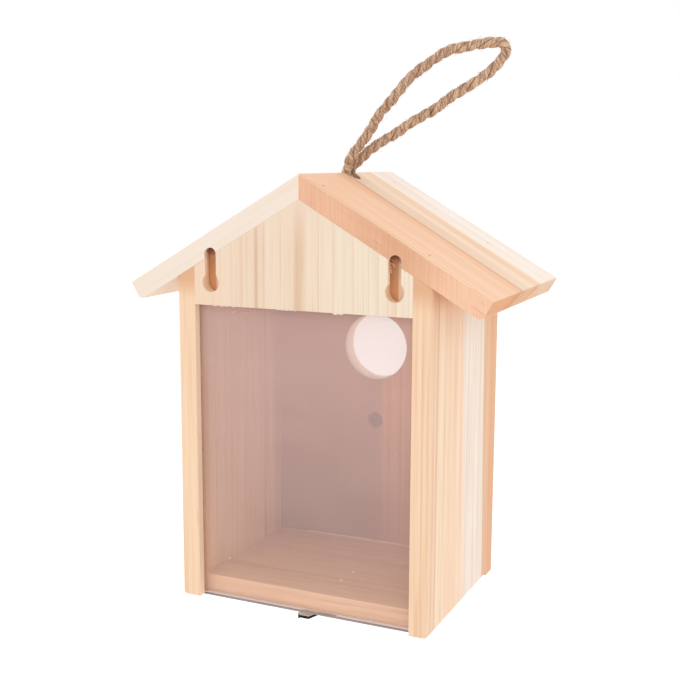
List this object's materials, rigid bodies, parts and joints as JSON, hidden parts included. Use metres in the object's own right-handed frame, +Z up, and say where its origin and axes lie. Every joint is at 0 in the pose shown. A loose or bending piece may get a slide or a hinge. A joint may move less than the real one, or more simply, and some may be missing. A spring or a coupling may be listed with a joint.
{
  "type": "window birdhouse",
  "caption": "Gabled wooden nest box for a window, with a round entrance, a perch, a clear panel that slides down, a turn button, keyholes and a hanging rope loop.",
  "frame": {"origin": "on the window face, midway between the entry circles of the two keyholes", "axes": "-Y towards the window and square to its glass, +X to the right seen from the window side, +Z up"},
  "size_m": [0.2114, 0.152, 0.3191],
  "materials": {
    "side_wood": "planed fir, unfinished, peach with a pale sapwood stripe",
    "gable_wood": "planed fir, unfinished, pale straw",
    "wall_wood": "planed fir, unfinished, orange heartwood",
    "floor_wood": "planed fir, unfinished, peach",
    "roof_wood": "planed fir, unfinished, peach and pale sapwood",
    "clear_acrylic": "clear, slightly milky, glossy",
    "dark_steel": "blackened, worn bright on its upper side",
    "dowel_wood": "turned dowel, unfinished",
    "jute": "three-strand twisted jute, hairy",
    "brad_steel": "plain steel, dulled"
  },
  "bodies": {
    "house": {"left_side_board": "side_wood", "right_side_board": "side_wood", "gable_board": "gable_wood", "entrance_wall": "wall_wood", "floor_board": "floor_wood", "left_roof_board": "roof_wood", "right_roof_board": "roof_wood", "turn_button_screw": "dark_steel", "perch": "dowel_wood", "rope_loop": "jute", "rope_knot": "jute", "roof_brads": "brad_steel", "wall_brads": "brad_steel"},
    "panel": {"clear_panel": "clear_acrylic"},
    "button": {"turn_button": "dark_steel"}
  },
  "joints": [
    {"name": "panel_slide", "type": "slide", "parent": "house", "child": "panel", "axis": [0, 0, -1], "range_m": [0, 0.172]},
    {"name": "button_turn", "type": "hinge", "parent": "house", "child": "button", "pos_m": [0.0125, 0.0145, -0.1824], "axis": [0, 0, -1], "range_deg": [0, 180]}
  ]
}
